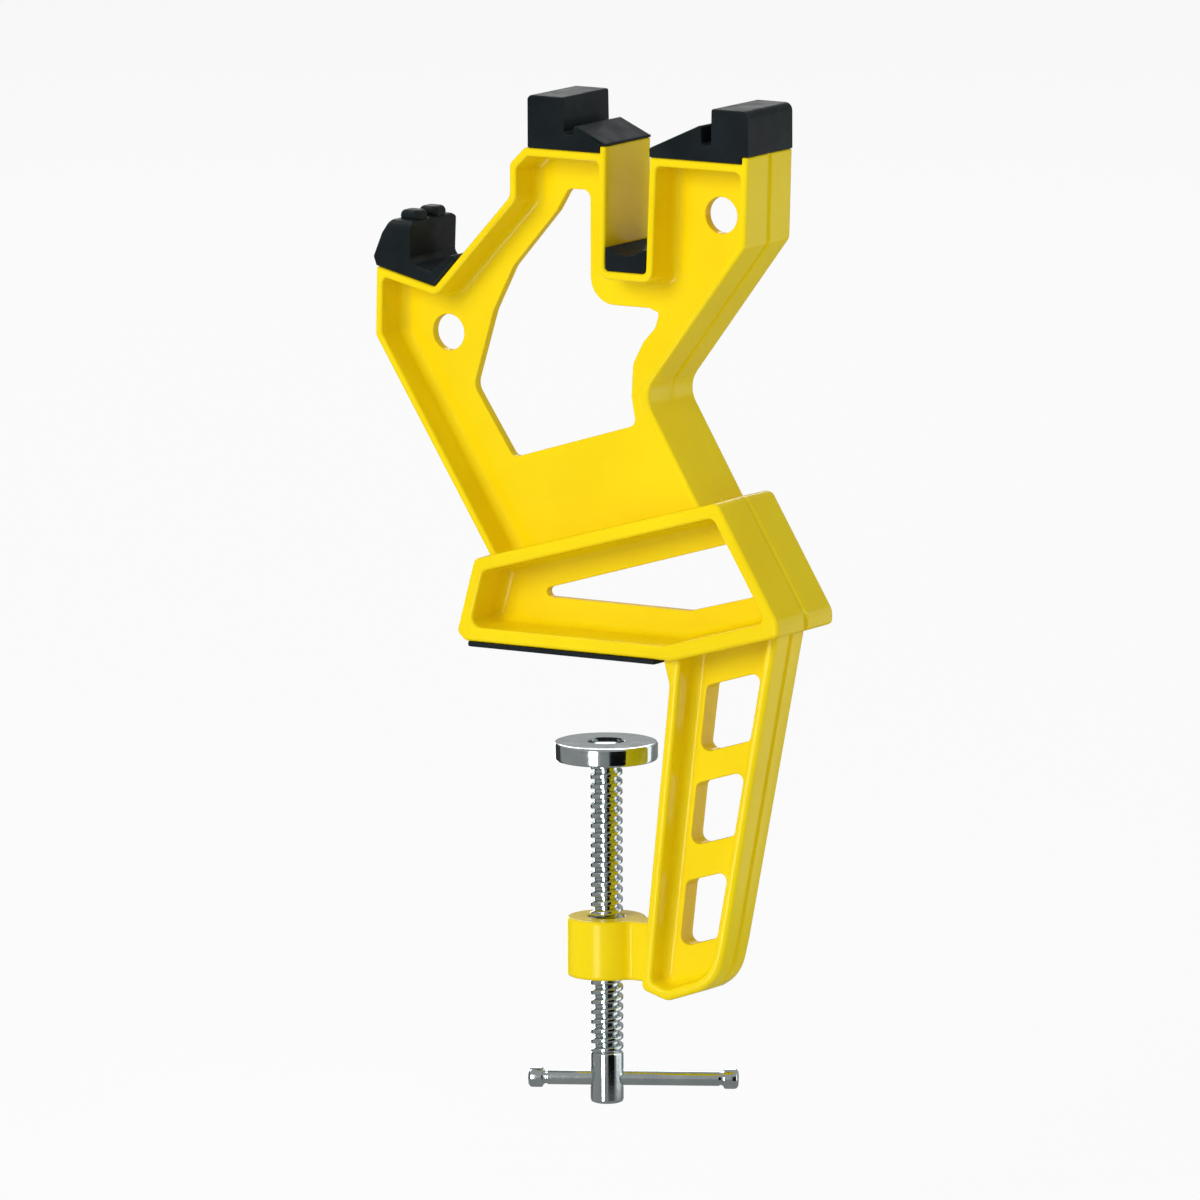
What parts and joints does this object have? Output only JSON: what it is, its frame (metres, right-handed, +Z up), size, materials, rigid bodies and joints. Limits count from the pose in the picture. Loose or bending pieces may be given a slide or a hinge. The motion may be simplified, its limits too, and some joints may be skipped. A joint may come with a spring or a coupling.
{
  "type": "ski tuning vise",
  "caption": "Bench clamp vise that carries a ski for tuning: ribbed frame with padded jaw blocks, clamping slot, angled arm and a screw clamp with a sliding cross bar.",
  "frame": {"origin": "on the bench top at the bench edge, in the mid-plane of the vise", "axes": "+X out from the bench edge towards the user, +Y along the bench edge, +Z up"},
  "size_m": [0.1452, 0.0372, 0.3069],
  "materials": {
    "frame_plastic": "glossy moulded yellow",
    "pad_rubber": "semi-gloss black rubber",
    "plated_steel": "bright zinc or nickel plating",
    "bush_steel": "turned steel"
  },
  "bodies": {
    "frame": {"body": "frame_plastic", "base_pad": "pad_rubber", "arm_pad": "pad_rubber", "inner_block_pad": "pad_rubber", "outer_block_pad": "pad_rubber", "slot_pad": "pad_rubber", "threaded_bush": "bush_steel"},
    "foot": {"pressure_foot": "plated_steel"},
    "screw": {"spindle": "plated_steel"},
    "handle": {"tommy_bar": "plated_steel", "bar_cap_short": "plated_steel", "bar_cap_long": "plated_steel"}
  },
  "joints": [
    {"name": "clamp_travel", "type": "slide", "parent": "frame", "child": "foot", "axis": [0, 0, 1], "range_m": [-0.046, 0.02]},
    {"name": "spindle_turn", "type": "hinge", "parent": "foot", "child": "screw", "pos_m": [-0.0266, 0, -0.0335], "axis": [0, 0, 1], "range_deg": [-5521, 2401]},
    {"name": "bar_slide", "type": "slide", "parent": "screw", "child": "handle", "axis": [0.8829, 0.4695, 0], "range_m": [-0.03, 0.014]}
  ],
  "couplings": [
    {"joint": "spindle_turn", "follows": "clamp_travel", "rad_per_m": 2094.4}
  ]
}
